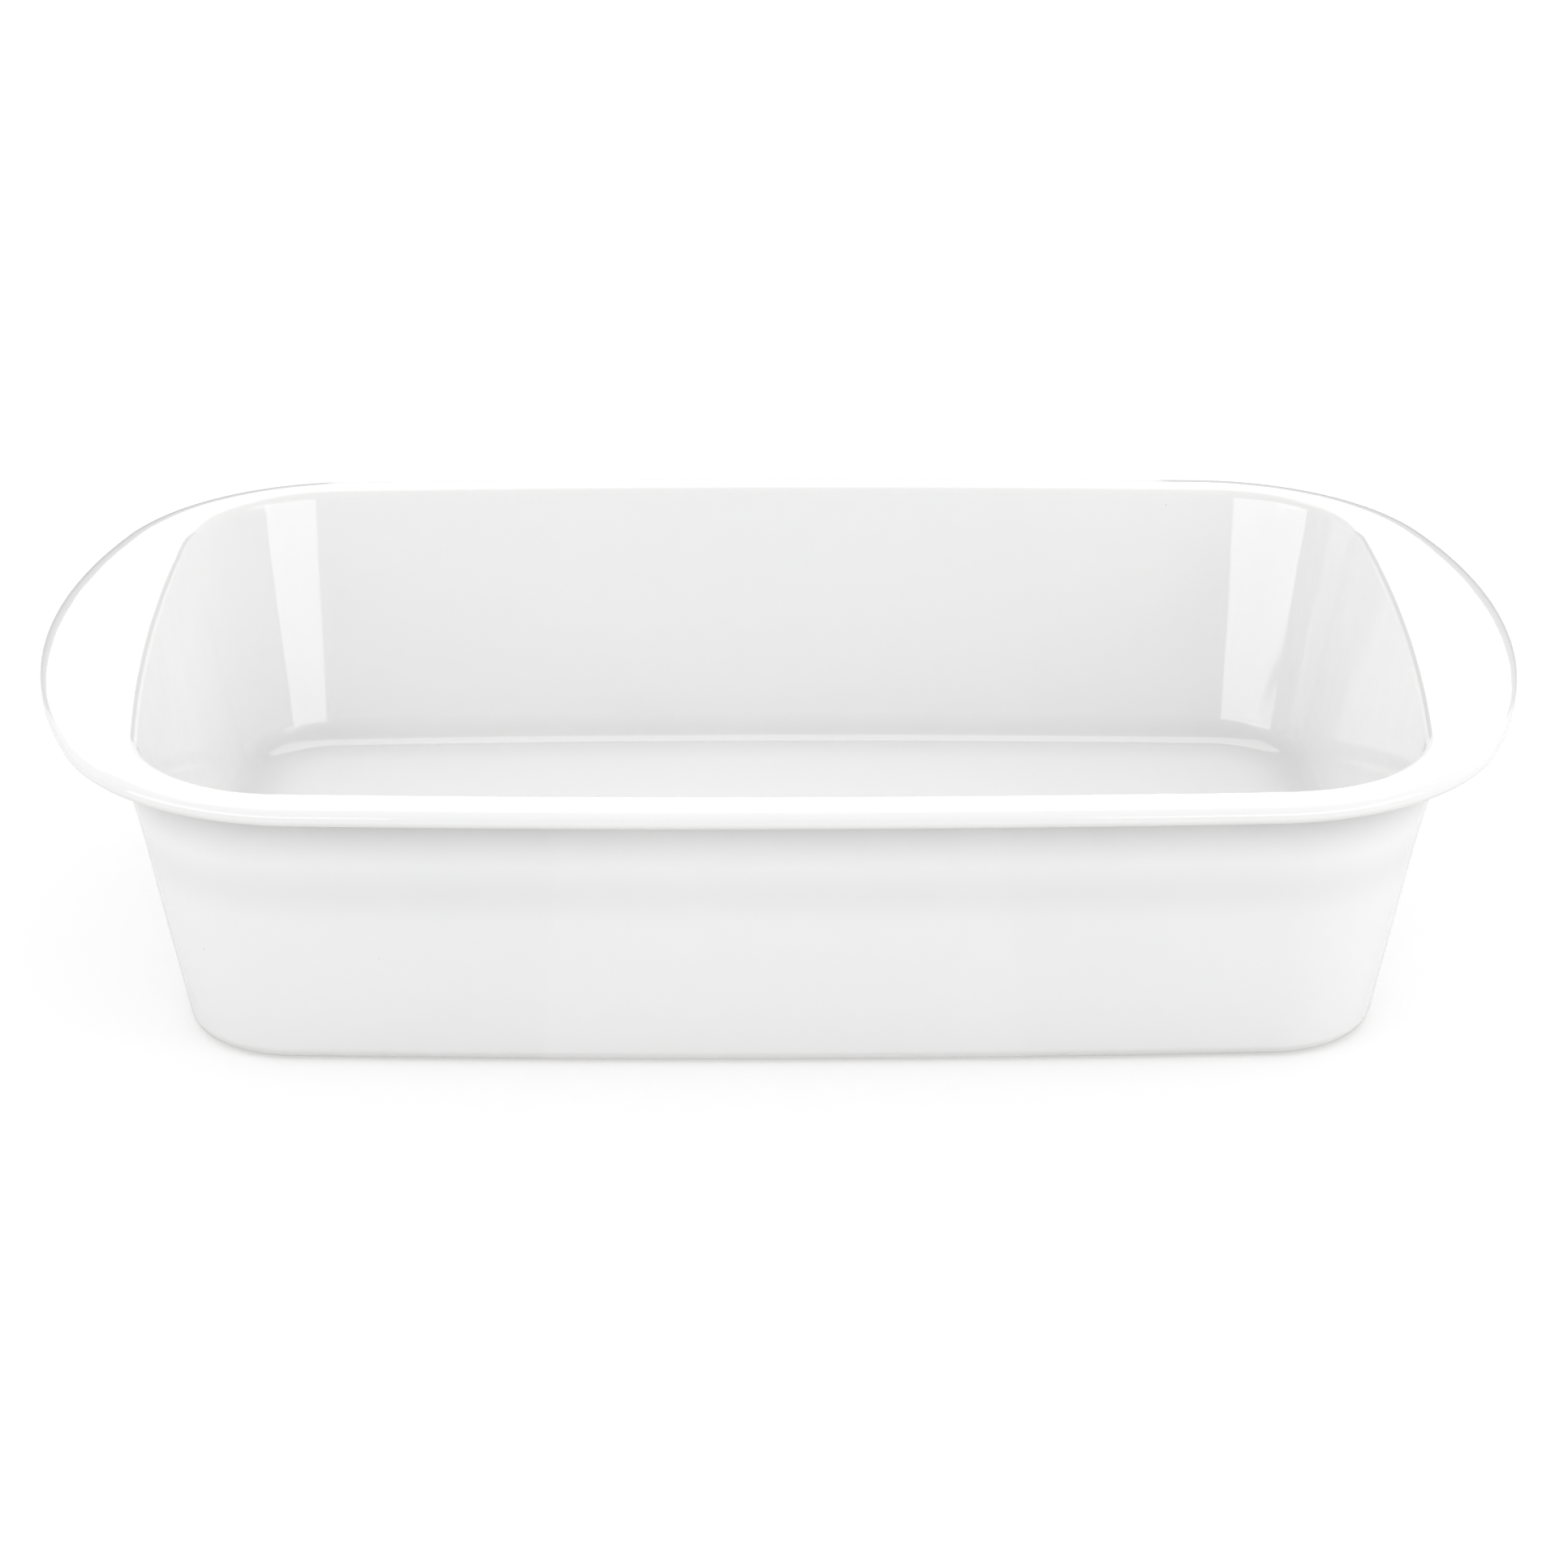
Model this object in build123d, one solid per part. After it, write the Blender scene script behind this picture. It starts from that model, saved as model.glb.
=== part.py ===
from build123d import *
import math
import os

# Lasagna dish of glazed porcelain, cast in one body with two ears.
# Frame: origin at the centre of the foot, +X along the length, +Z up. Lengths in mm, angles in degrees.

# Whole dish, measured over the glaze
overall_length = 380.0
overall_width = 236.0
overall_height = 78.0

# Rim, and the ears that it widens into at mid-width. A bow is how far an edge bulges over its full chord.
side_rim_width = 11.0
ear_width = 27.5
ear_bow = 36.7
ear_corner_radius = 65.0
rim_thickness = 5.0
rim_top_radius = 2.4
roll_flats = 3
rim_under_bevel = 1.2
under_rim_bevel = 1.5
mouth_edge_bevel = 1.8

# Mouth of the basin, where the inner wall would meet the top of the rim
mouth_length = overall_length - 2 * ear_width
mouth_width = overall_width - 2 * side_rim_width
mouth_corner_radius = 39.0
mouth_end_bow = 6.7
mouth_side_bow = 4.55

# Basin walls and floor
wall_at_rim = 5.4
inner_draft = 11.5
upper_draft = 14.0
lower_draft = 11.2
shoulder_drop = 24.0
floor_thickness = 6.5
floor_fillet = 8.0

# Foot
foot_height = 2.5
foot_edge_radius = 5.0
foot_ring_width = 7.0
foot_ring_draft = 25.0

# Glaze
glaze_thickness = 0.4
bare_foot_height = 1.2

# Where the bare porcelain is fettled flat, the bevel's share of the rounding that the glaze gives there
outside_bevel_share = 0.75
inside_bevel_share = 0.5

# One overrun for every cutting body
overrun = 4.0


def arc_centres(half_length, half_width, corner_radius, end_radius, side_radius):
    """Centres of an end arc, a side arc and the corner arc that is tangent to both."""
    end = Vector(half_length - end_radius, 0)
    side = Vector(0, half_width - side_radius)
    span = (side - end).length
    to_end = end_radius - corner_radius
    to_side = side_radius - corner_radius
    along = (to_end**2 - to_side**2 + span**2) / (2 * span)
    across = math.sqrt(to_end**2 - along**2)
    way = (side - end).normalized()
    square = Vector(way.Y, -way.X)
    near = end + way * along + square * across
    far = end + way * along - square * across
    corner = near if near.X > far.X else far
    return end, side, corner


def outline(half_length, half_width, corner_radius, end_radius, side_radius, offset):
    """Face inside eight tangent arcs, with every arc moved outwards by the offset."""
    end, side, corner = arc_centres(half_length, half_width, corner_radius, end_radius, side_radius)
    end_turn = math.degrees(math.atan2(corner.Y - end.Y, corner.X - end.X))
    side_turn = math.degrees(math.atan2(corner.Y - side.Y, corner.X - side.X))
    right = CenterArc((end.X, 0), end_radius + offset, -end_turn, 2 * end_turn)
    back = CenterArc((0, side.Y), side_radius + offset, side_turn, 180 - 2 * side_turn)
    turn = CenterArc((corner.X, corner.Y), corner_radius + offset, end_turn, side_turn - end_turn)
    edges = [right, turn, back, turn.mirror(Plane.YZ), right.mirror(Plane.YZ)]
    edges += [turn.mirror(Plane.YZ).mirror(Plane.XZ), back.mirror(Plane.XZ), turn.mirror(Plane.XZ)]
    return Face(Wire(edges))


def bowed(chord, bow):
    """Radius of the arc that bulges by the bow over a chord."""
    return ((chord / 2)**2 + bow**2) / (2 * bow)


def mouth_ring(offset, height):
    """The mouth's outline, grown by the offset and set at a height."""
    face = outline(mouth_length / 2, mouth_width / 2, mouth_corner_radius,
                   bowed(mouth_width, mouth_end_bow), bowed(mouth_length, mouth_side_bow), offset)
    return Pos(0, 0, height) * face


def rim_ring(offset, height):
    """The outline of the rim and its ears, grown by the offset and set at a height."""
    side_radius = bowed(mouth_length, mouth_side_bow) + side_rim_width
    face = outline(overall_length / 2, overall_width / 2, ear_corner_radius,
                   bowed(overall_width, ear_bow), side_radius, offset)
    return Pos(0, 0, height) * face


def tilt(distance, draft):
    """Sideways length of a skin of this thickness on a wall with this draft."""
    return distance / math.cos(math.radians(draft))


def lean(height, draft):
    """How far a drafted wall leans over a height."""
    return height * math.tan(math.radians(draft))


def drafted_block(offset, top, bottom, draft):
    """Block under the mouth's outline that narrows downwards."""
    return extrude(mouth_ring(offset, top), bottom - top, taper=draft)


def level_edges(solid, place):
    """Level edges of a solid at one height, counted from the lowest."""
    return solid.edges().filter_by(Plane.XY).group_by(Axis.Z)[place]


def reach_of(radius, turn):
    """How far back from an edge its rounding starts, where the surface turns by this angle."""
    return radius * math.tan(math.radians(turn / 2))


def roll_point(radius, place):
    """How far in and how far down from the top edge one corner of the rolled edge lies."""
    turn = 90 / (roll_flats + 1)
    angle = math.radians(turn * (place + 1 / 2))
    reach = radius / math.cos(math.radians(turn / 2))
    return radius - reach * math.cos(angle), radius - reach * math.sin(angle)


def rolled_layer(radius):
    """Top layer of the rim, its edge rolled over in narrow flats that touch the rounding."""
    layer = Part()
    for place in range(roll_flats):
        inward, down = roll_point(radius, place)
        next_down = roll_point(radius, place + 1)[1]
        taper = 90 * (place + 1) / (roll_flats + 1)
        layer += extrude(rim_ring(-inward, overall_height - down), down - next_down, taper=taper)
    return layer


def wall_block(inset, coat):
    """Outside of the basin, solid: two drafts that meet in a faint shoulder, and a soft lower edge."""
    above = overrun
    top = overall_height + above
    upper_offset = wall_at_rim + lean(above, upper_draft) - tilt(inset, upper_draft)
    meet = lean(shoulder_drop, upper_draft) - lean(shoulder_drop, lower_draft)
    lower_offset = wall_at_rim - meet + lean(above, lower_draft) - tilt(inset, lower_draft)
    upper = drafted_block(upper_offset, top, overall_height - 2 * shoulder_drop, upper_draft)
    lower = drafted_block(lower_offset, top, -coat, lower_draft)
    block = split(upper + lower, Plane.XY.offset(overall_height - rim_thickness / 2), keep=Keep.BOTTOM)
    foot_edges = level_edges(block, 0)
    if coat:
        return fillet(foot_edges, foot_edge_radius)
    return chamfer(foot_edges, outside_bevel_share * reach_of(foot_edge_radius - inset, 90 + lower_draft))


def rim_plate(inset, coat):
    """Rim and ears as one plate, bevelled under the edge and rolled over at the top."""
    drop = roll_point(rim_top_radius, 0)[1] if coat else inset
    plate = extrude(rim_ring(-inset, overall_height - drop), drop + inset - rim_thickness)
    plate = chamfer(level_edges(plate, 0), rim_under_bevel - inset)
    if coat:
        return plate + rolled_layer(rim_top_radius)
    return chamfer(level_edges(plate, -1), outside_bevel_share * reach_of(rim_top_radius - inset, 90))


def basin_hollow(inset, coat):
    """Space inside the basin, from the floor to well above the rim."""
    offset = lean(overrun, inner_draft) + tilt(inset, inner_draft)
    hollow = drafted_block(offset, overall_height + overrun, foot_height + floor_thickness - inset, inner_draft)
    floor_edges = level_edges(hollow, 0)
    if coat:
        return fillet(floor_edges, floor_fillet)
    return chamfer(floor_edges, inside_bevel_share * reach_of(floor_fillet + inset, 90 - inner_draft))


def foot_recess(coat):
    """Shallow space under the floor, inside the foot ring."""
    below_shoulder = overall_height - shoulder_drop
    base_offset = wall_at_rim - lean(shoulder_drop, upper_draft) - lean(below_shoulder, lower_draft)
    edge = reach_of(foot_edge_radius, 90 + lower_draft)
    offset = base_offset - edge - foot_ring_width - tilt(coat, foot_ring_draft)
    ring = mouth_ring(offset + lean(overrun, foot_ring_draft), -overrun)
    return extrude(ring, foot_height - coat + overrun, taper=foot_ring_draft)


def dish(coat):
    """The dish with a coat of this thickness on every side of the bare porcelain."""
    inset = glaze_thickness - coat
    plate = rim_plate(inset, coat)
    walls = wall_block(inset, coat)
    blank = plate + walls
    if coat:
        blank = chamfer(new_edges(plate, walls, combined=blank), under_rim_bevel)
    hollow = basin_hollow(inset, coat)
    open_dish = blank - hollow
    mouth_edges = new_edges(blank, hollow, combined=open_dish)
    open_dish = chamfer(mouth_edges, mouth_edge_bevel - inset)
    return open_dish - foot_recess(coat)


def glaze(porcelain):
    """The two coats that are left when the foot is wiped bare: under the floor, and on all the rest."""
    wiped = Pos(0, 0, bare_foot_height) * Box(overall_length, overall_width, bare_foot_height + overrun,
                                              align=(Align.CENTER, Align.CENTER, Align.MAX))
    coats = dish(glaze_thickness) - porcelain - wiped
    return coats.solids().sort_by(SortBy.VOLUME)


def save(shape, node):
    """Write one piece to its file."""
    shape.label = node
    export_step(shape, os.path.join("parts", node + ".step"))
    size = shape.bounding_box().size
    print(node, "valid", shape.is_valid, "volume", round(shape.volume), "size", size)


def main():
    os.makedirs("parts", exist_ok=True)
    porcelain = dish(0)
    under_coat, main_coat = glaze(porcelain)
    save(porcelain, "porcelain_body")
    save(main_coat, "glaze_coat")
    save(under_coat, "base_glaze")


main()
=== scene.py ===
# %% [markdown]
# # A glazed porcelain lasagna dish, swept from one template
#
# The dish is cast porcelain: one body of clay, covered with white glaze except for the ring that it stands
# on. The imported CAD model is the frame. It says how large every piece is and where it lies, so it is loaded
# first, and each size below is either read from it or named beside the piece that it belongs to.

# %% Load the frame
import math

import bpy
from mathutils import Matrix, Vector


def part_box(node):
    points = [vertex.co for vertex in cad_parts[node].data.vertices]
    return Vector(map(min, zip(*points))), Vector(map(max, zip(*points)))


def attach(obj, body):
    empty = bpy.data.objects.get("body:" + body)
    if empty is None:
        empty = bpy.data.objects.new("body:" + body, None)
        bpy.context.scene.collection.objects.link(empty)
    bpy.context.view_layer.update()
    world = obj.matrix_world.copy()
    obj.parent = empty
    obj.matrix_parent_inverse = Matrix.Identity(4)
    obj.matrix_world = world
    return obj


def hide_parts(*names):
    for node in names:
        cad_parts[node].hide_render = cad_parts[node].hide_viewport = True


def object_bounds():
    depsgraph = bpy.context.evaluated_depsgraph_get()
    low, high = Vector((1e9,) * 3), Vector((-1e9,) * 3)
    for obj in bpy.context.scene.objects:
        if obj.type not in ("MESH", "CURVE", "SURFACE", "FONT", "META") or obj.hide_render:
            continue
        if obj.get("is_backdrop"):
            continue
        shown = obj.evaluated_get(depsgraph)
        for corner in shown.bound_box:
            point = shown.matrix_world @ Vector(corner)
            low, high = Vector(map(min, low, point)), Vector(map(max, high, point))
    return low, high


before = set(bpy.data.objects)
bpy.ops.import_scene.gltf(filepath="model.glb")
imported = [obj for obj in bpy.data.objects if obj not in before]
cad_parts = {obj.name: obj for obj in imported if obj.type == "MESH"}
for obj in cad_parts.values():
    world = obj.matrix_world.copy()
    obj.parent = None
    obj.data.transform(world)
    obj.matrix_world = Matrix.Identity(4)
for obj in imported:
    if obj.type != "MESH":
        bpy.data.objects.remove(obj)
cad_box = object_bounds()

MM = 0.001
coat_low, coat_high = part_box("glaze_coat")
recess_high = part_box("base_glaze")[1]
print("length, width, height in mm:", [round(side / MM, 1) for side in cad_box[1] - cad_box[0]])

# %% [markdown]
# ## The form, in a potter's terms
#
# A mould maker draws such a dish as two things. One is the outline seen from above. It has a long bowed
# side, a round corner and a bowed end, and it is drawn twice: once for the mouth of the basin and once for
# the edge of the rim, which swells into the two ears. The other is the section, a thin template that is
# carried round the outline and says how far out and how high each point of the wall lies.
#
# The overall sizes come from the frame. The others are the sizes of the section and of the curves. Lengths
# of the dish are millimetres times `MM`, and those of the studio round it are metres. A draft is how far a
# wall leans from upright, in degrees. A bow is how far an edge bulges over a straight line between its
# ends.

# %% Sizes of the two outlines
HALF_LENGTH = coat_high.x
HALF_WIDTH = coat_high.y
HEIGHT = coat_high.z
SIDE_RIM = 11.0 * MM
EAR = 27.5 * MM
EAR_BOW = 36.7 * MM
EAR_CORNER = 65.0 * MM
MOUTH_CORNER = 39.0 * MM
MOUTH_END_BOW = 6.7 * MM
MOUTH_SIDE_BOW = 4.55 * MM

# %% Sizes of the section
RIM = 5.0 * MM
ROLL_WIDTH = 5.5 * MM
ROLL_HEIGHT = 2.4 * MM
UNDER_EDGE = 1.7 * MM
CREASE = 2.0 * MM
MOUTH_EDGE = 3.0 * MM
WALL = 5.4 * MM
INNER_DRAFT = 11.5
UPPER_DRAFT = 14.0
LOWER_DRAFT = 11.2
SHOULDER_DROP = 24.0 * MM
SHOULDER_SOFTNESS = 180.0 * MM
FLOOR = 9.0 * MM
FLOOR_FILLET = 8.0 * MM
FOOT_EDGE = 5.0 * MM
FOOT_RING = 7.0 * MM
RECESS_DRAFT = 25.0
RECESS_CORNER = 1.5 * MM
RING_EDGE = 0.8 * MM
COAT = 0.4 * MM
BARE = coat_low.z

# %% [markdown]
# ## Arithmetic on node sockets
#
# The outline follows a rule, so a Geometry Nodes tree works it out: every point is found with a handful of
# sines, cosines and square roots. Each of them is a Math node, and some eighty Math nodes wired by hand are
# hard to read. The small class below lets a formula be written as a formula. Each `+`, `-`, `*` or `/` adds
# one Math node to the tree and hands back its output.

# %% Formulas that build Math nodes
class Wired:
    """An output socket that can be used in a formula. Each operation adds one Math node."""

    def __init__(self, tree, socket):
        self.tree = tree
        self.socket = socket

    def calc(self, operation, *terms):
        """One Math node with this socket as its first term."""
        made = self.tree.nodes.new("ShaderNodeMath")
        made.operation = operation
        for entry, term in zip(made.inputs, (self, *terms)):
            feed(entry, term)
        return Wired(self.tree, made.outputs[0])

    def __add__(self, other):
        return self.calc("ADD", other)

    def __sub__(self, other):
        return self.calc("SUBTRACT", other)

    def __mul__(self, other):
        return self.calc("MULTIPLY", other)

    def __truediv__(self, other):
        return self.calc("DIVIDE", other)

    def root(self):
        return self.calc("SQRT")

    def clamped(self):
        """The value, held between 0 and 1."""
        held = self.calc("ADD", 0.0)
        held.socket.node.use_clamp = True
        return held

    def towards(self, other, share):
        """The value a share of the way from this one to the other."""
        return self + (other - self) * share


def feed(entry, term):
    """Joins a socket to an input, or writes a plain number, colour or vector in it."""
    if isinstance(term, Wired):
        term.tree.links.new(term.socket, entry)
    else:
        entry.default_value = term


# %% Placing nodes and starting trees
def place(tree, kind, entries=(), **settings):
    """A node of one kind with its settings made and its named or numbered inputs fed."""
    made = tree.nodes.new(kind)
    for name, value in settings.items():
        setattr(made, name, value)
    for key, term in dict(entries).items():
        feed(made.inputs[key], term)
    return made


def out(made, key=0):
    """One output of a node, ready for a formula."""
    return Wired(made.id_data, made.outputs[key])


def new_tree(name, kind, inputs, outputs):
    """A node tree with named sockets. Returns it with its inputs by name and its group output."""
    tree = bpy.data.node_groups.new(name, kind)
    for label, socket_type in inputs.items():
        tree.interface.new_socket(name=label, in_out="INPUT", socket_type=socket_type)
    for label, socket_type in outputs.items():
        tree.interface.new_socket(name=label, in_out="OUTPUT", socket_type=socket_type)
    start = tree.nodes.new("NodeGroupInput")
    given = {label: Wired(tree, start.outputs[label]) for label in inputs}
    return tree, given, tree.nodes.new("NodeGroupOutput")


FLOAT, INTEGER, GEOMETRY = "NodeSocketFloat", "NodeSocketInt", "NodeSocketGeometry"

# %% [markdown]
# ## One quarter of an outline
#
# An outline is eight arcs that touch each other without a kink, and each quarter repeats the first one in a
# mirror. So the tree only knows one quarter: half an end arc, a corner arc and half a side arc. The corner
# arc's centre is where two circles meet, one round the end arc's centre and one round the side arc's.
#
# The input `Turn` runs from 0 to 3. It crosses the end arc from 0 to 1, the corner from 1 to 2 and the side
# from 2 to 3. Because the arcs are tangent, the direction in which the wall faces never jumps, and moving
# every arc by the same offset gives a wall of even thickness. That is what a mould maker's offset line
# does.

# %% The quarter outline as a node group
QUARTER_NAMES = (
    "Half Length", "Half Width", "End Bow", "Side Bow", "Side Chord", "Side Shift", "Corner", "Offset", "Turn"
)


def quarter_outline_group():
    """Node group that gives a point of the first quarter of an outline, moved outwards by an offset."""
    tree, given, end_node = new_tree(
        "quarter outline", "GeometryNodeTree", dict.fromkeys(QUARTER_NAMES, FLOAT), {"X": FLOAT, "Y": FLOAT}
    )
    half_length, half_width = given["Half Length"], given["Half Width"]
    corner, turn = given["Corner"], given["Turn"]

    def bowed(half_chord, bow):
        """Radius of the arc that bulges by the bow over its chord."""
        return (half_chord * half_chord + bow * bow) / (bow * 2.0)

    end_radius = bowed(half_width, given["End Bow"])
    side_radius = bowed(given["Side Chord"], given["Side Bow"]) + given["Side Shift"]
    end_x = half_length - end_radius
    side_y = half_width - side_radius
    span = (end_x * end_x + side_y * side_y).root()
    to_end = end_radius - corner
    to_side = side_radius - corner
    along = (to_end * to_end - to_side * to_side + span * span) / (span * 2.0)
    across = (to_end * to_end - along * along).root()
    corner_x = end_x - (end_x * along + side_y * across) / span
    corner_y = (side_y * along - end_x * across) / span

    end_turn = corner_y.calc("ARCTAN2", corner_x - end_x)
    side_turn = (corner_y - side_y).calc("ARCTAN2", corner_x)
    facing = end_turn * turn.clamped()
    facing = facing + (side_turn - end_turn) * (turn - 1.0).clamped()
    facing = facing + (side_turn * -1.0 + math.pi / 2) * (turn - 2.0).clamped()

    on_end = turn.calc("LESS_THAN", 1.0)
    on_side = turn.calc("GREATER_THAN", 2.0)
    on_corner = on_end * -1.0 - on_side + 1.0
    centre_x = end_x * on_end + corner_x * on_corner
    centre_y = side_y * on_side + corner_y * on_corner
    radius = end_radius * on_end + corner * on_corner + side_radius * on_side + given["Offset"]
    feed(end_node.inputs["X"], centre_x + radius * facing.calc("COSINE"))
    feed(end_node.inputs["Y"], centre_y + radius * facing.calc("SINE"))
    return tree


QUARTER = quarter_outline_group()
print("quarter outline:", len(QUARTER.nodes), "nodes")

# %% [markdown]
# ## Carrying the template round the outline
#
# The template comes in as a mesh of points joined by edges. A point's X is its offset from the outline, its
# Z is its height, and three attributes say the rest: `ear` is 0 where the point follows the mouth and 1
# where it follows the rim's edge, `spread` draws the floor in to its centre, and the third says where glaze
# gathers or thins and where shade is painted into the colour.
#
# The tree makes a grid with one column for each step round the dish and one row for each template point. It
# looks up its row's template point, asks the quarter outline where that point lies, and mirrors it into the
# quarter that its column is in. A sweep along a curve could not do this, because the section changes
# between the two outlines, and a lathe could not, because the dish isn't round.
#
# A cast and fired piece is never dead true. The last step shifts every point by a slow noise of a few
# tenths of a millimetre. It leaves the foot and the rim alone, so the dish still stands flat.

# %% Names of the inputs
RIM_NAMES = ("Half Length", "Half Width", "Ear Bow", "Ear Corner", "Ear Width", "Side Rim")
MOUTH_NAMES = ("Mouth Corner", "Mouth End Bow", "Mouth Side Bow")
COUNT_NAMES = ("End Steps", "Corner Steps", "Side Steps")
WAVE_NAMES = ("Wave Height", "Wave Length", "Still Below", "Still Above", "Seed")


# %% Looking up the template
def template_value(tree, template, kind, name, index):
    """What the template says at a row: its position, or a named attribute."""
    if name == "position":
        source = place(tree, "GeometryNodeInputPosition")
    else:
        source = place(tree, "GeometryNodeInputNamedAttribute", {"Name": name}, data_type="FLOAT")
    looked_up = place(tree, "GeometryNodeSampleIndex", {"Geometry": template}, data_type=kind, domain="POINT")
    feed(looked_up.inputs["Value"], out(source))
    feed(looked_up.inputs["Index"], index)
    return out(looked_up)


# %% Mirroring a column into the first quarter
def folded_turn(given, column, steps):
    """Turn from 0 to 3 in the first quarter, and the two signs that mirror it into the column's quarter."""
    quarter = (column / steps).calc("FLOOR")
    within = column - quarter * steps
    odd = quarter.calc("MODULO", 2.0)
    folded = within.towards(steps - within, odd)
    to_corner = folded - given["End Steps"]
    to_side = to_corner - given["Corner Steps"]
    turn = (folded / given["End Steps"]).clamped() + (to_corner / given["Corner Steps"]).clamped()
    turn = turn + (to_side / given["Side Steps"]).clamped()
    diagonal = quarter * (math.pi / 2) + math.pi / 4
    return turn, diagonal.calc("COSINE").calc("SIGN"), diagonal.calc("SINE").calc("SIGN")


# %% A point of either outline
def outline_point(tree, given, offset, turn, on_rim):
    """X and Y of the mouth outline or of the rim's edge."""
    shift = given["Side Rim"] if on_rim else 0.0
    entries = {
        "Half Length": given["Half Length"] if on_rim else given["Half Length"] - given["Ear Width"],
        "Half Width": given["Half Width"] if on_rim else given["Half Width"] - given["Side Rim"],
        "End Bow": given["Ear Bow"] if on_rim else given["Mouth End Bow"],
        "Side Bow": given["Mouth Side Bow"],
        "Side Chord": given["Half Length"] - given["Ear Width"],
        "Side Shift": shift,
        "Corner": given["Ear Corner"] if on_rim else given["Mouth Corner"],
        "Offset": offset,
        "Turn": turn,
    }
    made = place(tree, "GeometryNodeGroup", node_tree=QUARTER)
    for label, term in entries.items():
        feed(made.inputs[label], term)
    return out(made, "X"), out(made, "Y")


# %% The slow shift that firing leaves
FADE_SHARE = 0.3


def slow_shift(tree, given):
    """The small shift of every point that firing leaves, fading out at the foot and at the rim."""
    spot = place(tree, "GeometryNodeInputPosition")
    height = out(place(tree, "ShaderNodeSeparateXYZ", {0: out(spot)}), "Z")
    fade = given["Still Above"] - given["Still Below"]
    above_foot = ((height - given["Still Below"]) / (fade * FADE_SHARE)).clamped()
    below_rim = ((given["Still Above"] - height) / (fade * FADE_SHARE)).clamped()
    noise = place(tree, "ShaderNodeTexNoise", {"Vector": out(spot), "Detail": 1.0}, noise_dimensions="4D")
    feed(noise.inputs["Scale"], given["Wave Length"].calc("POWER", -1.0))
    feed(noise.inputs["W"], given["Seed"])
    middle = (0.5, 0.5, 0.5)
    centred = place(tree, "ShaderNodeVectorMath", {0: out(noise, "Color"), 1: middle}, operation="SUBTRACT")
    scaled = place(tree, "ShaderNodeVectorMath", {0: out(centred)}, operation="SCALE")
    feed(scaled.inputs["Scale"], given["Wave Height"] * above_foot * below_rim)
    return out(scaled)


# %% The whole sweep
WELD = 0.002 * MM
# Added before a quotient is rounded down, so that an exact one never lands just under its whole number.
ROW_NUDGE = 0.5 / 4096


def sweep_tree():
    """Geometry Nodes tree that carries a template round the dish and returns one closed skin."""
    inputs = {"Template": GEOMETRY, "Material": "NodeSocketMaterial"}
    inputs.update(dict.fromkeys(RIM_NAMES + MOUTH_NAMES + WAVE_NAMES, FLOAT))
    inputs.update(dict.fromkeys(COUNT_NAMES, INTEGER))
    tree, given, end_node = new_tree("carried round", "GeometryNodeTree", inputs, {"Skin": GEOMETRY})

    rows = out(place(tree, "GeometryNodeAttributeDomainSize", {"Geometry": given["Template"]}), "Point Count")
    steps = given["End Steps"] + given["Corner Steps"] + given["Side Steps"]
    grid = place(tree, "GeometryNodeMeshGrid", {"Vertices X": steps * 4.0 + 1.0, "Vertices Y": rows})
    index = out(place(tree, "GeometryNodeInputIndex"))
    column = (index / rows + ROW_NUDGE).calc("FLOOR")
    row = index - column * rows

    spot = template_value(tree, given["Template"], "FLOAT_VECTOR", "position", row)
    ear, spread, pool_and_shade = (
        template_value(tree, given["Template"], "FLOAT", name, row) for name in ("ear", "spread", "pool_and_shade")
    )
    parts = place(tree, "ShaderNodeSeparateXYZ", {0: spot})
    offset, height = out(parts, "X"), out(parts, "Z")
    turn, sign_x, sign_y = folded_turn(given, column, steps)
    mouth_x, mouth_y = outline_point(tree, given, offset, turn, False)
    rim_x, rim_y = outline_point(tree, given, offset, turn, True)
    x = mouth_x.towards(rim_x, ear) * spread * sign_x
    y = mouth_y.towards(rim_y, ear) * spread * sign_y

    where = out(place(tree, "ShaderNodeCombineXYZ", {"X": x, "Y": y, "Z": height}))
    swept = place(tree, "GeometryNodeSetPosition", {"Geometry": out(grid, "Mesh"), "Position": where})
    marked = place(tree, "GeometryNodeStoreNamedAttribute", {"Geometry": out(swept), "Name": "pool_and_shade"})
    feed(marked.inputs["Value"], pool_and_shade)
    closed = place(tree, "GeometryNodeMergeByDistance", {"Geometry": out(marked), "Distance": WELD})
    shift = slow_shift(tree, given)
    fired = place(tree, "GeometryNodeSetPosition", {"Geometry": out(closed), "Offset": shift})
    smooth = place(tree, "GeometryNodeSetShadeSmooth", {"Geometry": out(fired)})
    real = place(tree, "GeometryNodeRealizeInstances", {"Geometry": out(smooth)})
    coated = place(tree, "GeometryNodeSetMaterial", {"Geometry": out(real), "Material": given["Material"]})
    feed(end_node.inputs["Skin"], out(coated))
    return tree


SWEEP = sweep_tree()
print("sweep:", len(SWEEP.nodes), "nodes")
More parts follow.
